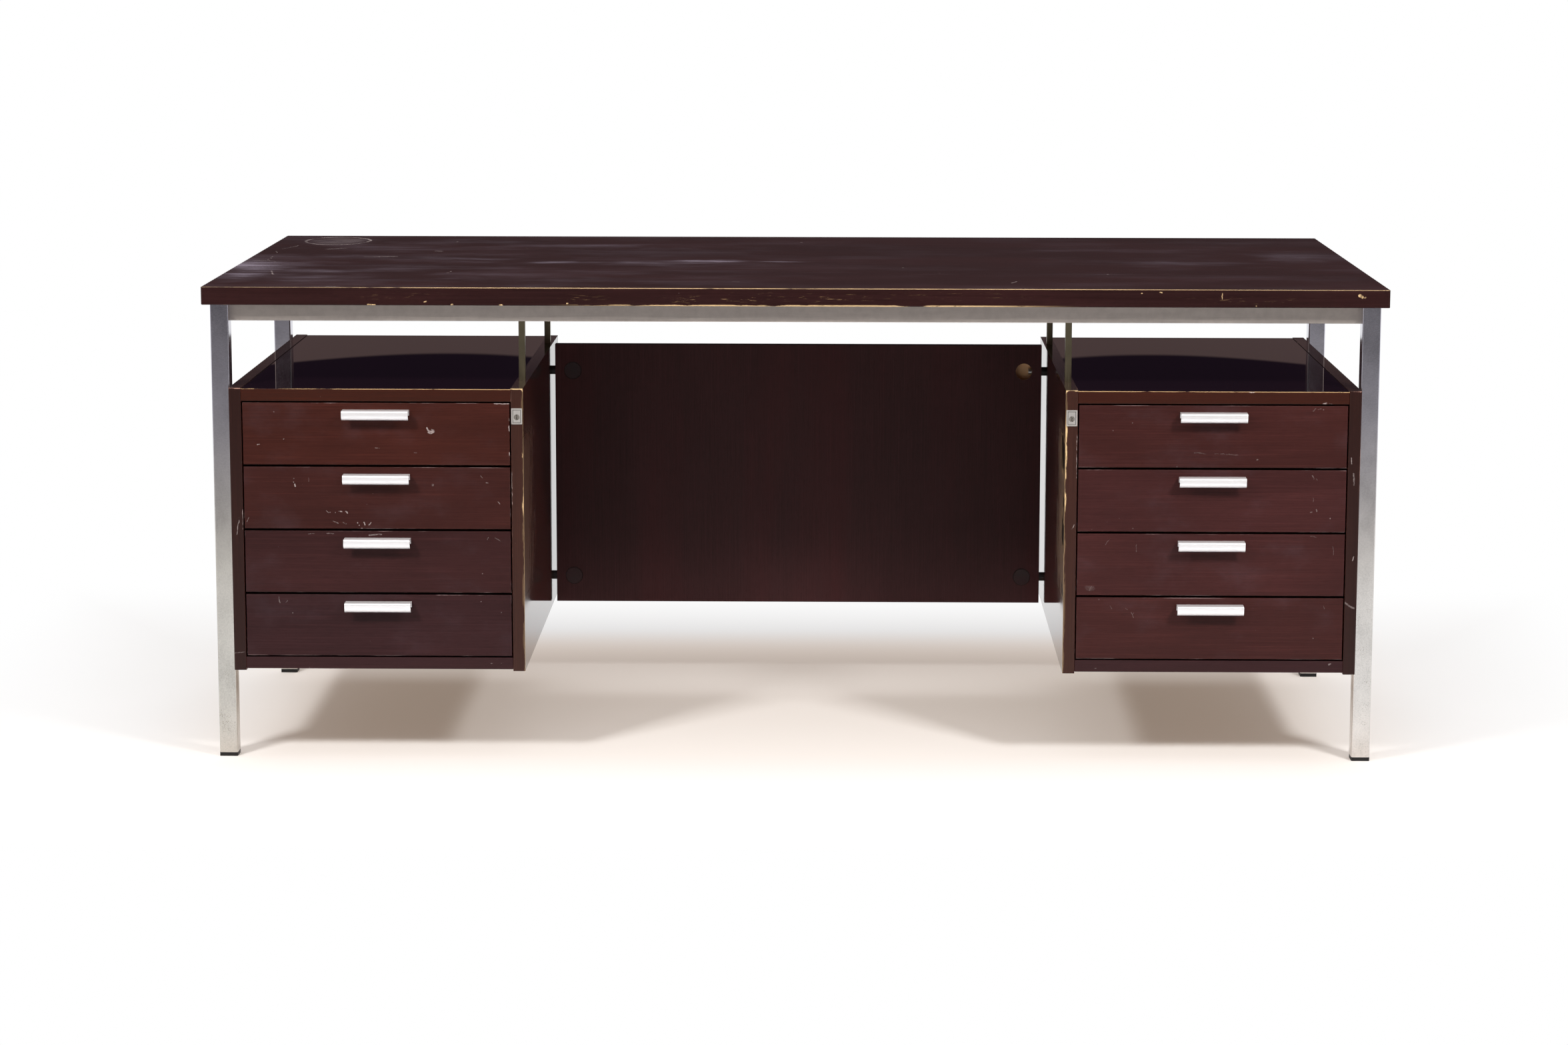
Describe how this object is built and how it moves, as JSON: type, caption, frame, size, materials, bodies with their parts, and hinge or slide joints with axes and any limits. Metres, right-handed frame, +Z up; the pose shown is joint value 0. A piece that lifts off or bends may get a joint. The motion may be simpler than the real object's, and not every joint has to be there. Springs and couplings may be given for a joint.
{
  "type": "kneehole desk",
  "caption": "Writing desk with a thick dark wood top on a square steel tube frame, a drawer pedestal on each side of the kneehole and a modesty panel.",
  "frame": {"origin": "on the floor under the middle of the desk's overall length and depth", "axes": "+Z up, +X to the sitter's right seen from the drawer side, drawers open towards -Y"},
  "size_m": [1.84, 0.9534, 0.746],
  "materials": {
    "stained_wood": "dark red-brown stain under a worn clear lacquer",
    "box_wood": "plain pale hardwood",
    "chrome_steel": "tarnished and pitted chrome plating",
    "hanger_steel": "dulled plating",
    "pull_aluminium": "satin anodised",
    "lock_nickel": "worn nickel plating",
    "bar_steel": "plain steel",
    "screw_steel": "zinc plated",
    "foot_plastic": "black moulded",
    "cap_plastic": "dark brown moulded"
  },
  "bodies": {
    "frame": {"desk_top": "stained_wood", "feet": "foot_plastic", "pedestal_hangers": "hanger_steel", "top_screws": "screw_steel", "pedestal_screws": "screw_steel", "modesty_panel": "stained_wood", "modesty_bolts": "screw_steel", "modesty_spacers": "foot_plastic", "modesty_caps": "cap_plastic", "front_left_leg": "chrome_steel", "front_right_leg": "chrome_steel", "rear_left_leg": "chrome_steel", "rear_right_leg": "chrome_steel", "front_rail": "chrome_steel", "rear_rail": "chrome_steel", "side_rails": "chrome_steel", "cross_rails": "chrome_steel", "left_outer_side": "stained_wood", "left_inner_side": "stained_wood", "left_pedestal_top": "stained_wood", "left_pedestal_bottom": "stained_wood", "left_pedestal_back": "stained_wood", "left_drawer_runners": "box_wood", "left_lock_case": "lock_nickel", "right_outer_side": "stained_wood", "right_inner_side": "stained_wood", "right_pedestal_top": "stained_wood", "right_pedestal_bottom": "stained_wood", "right_pedestal_back": "stained_wood", "right_drawer_runners": "box_wood", "right_lock_case": "lock_nickel"},
    "left_lock_plug": {"left_lock_plug": "lock_nickel"},
    "left_locking_bar": {"left_locking_bar": "bar_steel"},
    "left_drawer_1": {"left_drawer_1_front": "stained_wood", "left_drawer_1_box": "box_wood", "left_drawer_1_handle": "pull_aluminium"},
    "left_drawer_2": {"left_drawer_2_front": "stained_wood", "left_drawer_2_box": "box_wood", "left_drawer_2_handle": "pull_aluminium"},
    "left_drawer_3": {"left_drawer_3_front": "stained_wood", "left_drawer_3_box": "box_wood", "left_drawer_3_handle": "pull_aluminium"},
    "left_drawer_4": {"left_drawer_4_front": "stained_wood", "left_drawer_4_box": "box_wood", "left_drawer_4_handle": "pull_aluminium"},
    "right_lock_plug": {"right_lock_plug": "lock_nickel"},
    "right_locking_bar": {"right_locking_bar": "bar_steel"},
    "right_drawer_1": {"right_drawer_1_front": "stained_wood", "right_drawer_1_box": "box_wood", "right_drawer_1_handle": "pull_aluminium"},
    "right_drawer_2": {"right_drawer_2_front": "stained_wood", "right_drawer_2_box": "box_wood", "right_drawer_2_handle": "pull_aluminium"},
    "right_drawer_3": {"right_drawer_3_front": "stained_wood", "right_drawer_3_box": "box_wood", "right_drawer_3_handle": "pull_aluminium"},
    "right_drawer_4": {"right_drawer_4_front": "stained_wood", "right_drawer_4_box": "box_wood", "right_drawer_4_handle": "pull_aluminium"}
  },
  "joints": [
    {"name": "left_drawer_1_slide", "type": "slide", "parent": "frame", "child": "left_drawer_1", "axis": [0, -1, 0], "range_m": [0, 0.38]},
    {"name": "left_drawer_2_slide", "type": "slide", "parent": "frame", "child": "left_drawer_2", "axis": [0, -1, 0], "range_m": [0, 0.38]},
    {"name": "left_drawer_3_slide", "type": "slide", "parent": "frame", "child": "left_drawer_3", "axis": [0, -1, 0], "range_m": [0, 0.38]},
    {"name": "left_drawer_4_slide", "type": "slide", "parent": "frame", "child": "left_drawer_4", "axis": [0, -1, 0], "range_m": [0, 0.38]},
    {"name": "left_lock_turn", "type": "hinge", "parent": "frame", "child": "left_lock_plug", "pos_m": [-0.431, -0.44525, 0.5446], "axis": [0, 1, 0], "range_deg": [0, 90]},
    {"name": "left_bar_lift", "type": "slide", "parent": "frame", "child": "left_locking_bar", "axis": [0, 0, 1], "range_m": [0, 0.00707]},
    {"name": "right_drawer_1_slide", "type": "slide", "parent": "frame", "child": "right_drawer_1", "axis": [0, -1, 0], "range_m": [0, 0.38]},
    {"name": "right_drawer_2_slide", "type": "slide", "parent": "frame", "child": "right_drawer_2", "axis": [0, -1, 0], "range_m": [0, 0.38]},
    {"name": "right_drawer_3_slide", "type": "slide", "parent": "frame", "child": "right_drawer_3", "axis": [0, -1, 0], "range_m": [0, 0.38]},
    {"name": "right_drawer_4_slide", "type": "slide", "parent": "frame", "child": "right_drawer_4", "axis": [0, -1, 0], "range_m": [0, 0.38]},
    {"name": "right_lock_turn", "type": "hinge", "parent": "frame", "child": "right_lock_plug", "pos_m": [0.431, -0.44525, 0.5446], "axis": [0, -1, 0], "range_deg": [0, 90]},
    {"name": "right_bar_lift", "type": "slide", "parent": "frame", "child": "right_locking_bar", "axis": [0, 0, 1], "range_m": [0, 0.00707]}
  ],
  "couplings": [
    {"joint": "left_lock_turn", "follows": "left_bar_lift", "rad_per_m": 222.14},
    {"joint": "right_lock_turn", "follows": "right_bar_lift", "rad_per_m": 222.14}
  ]
}
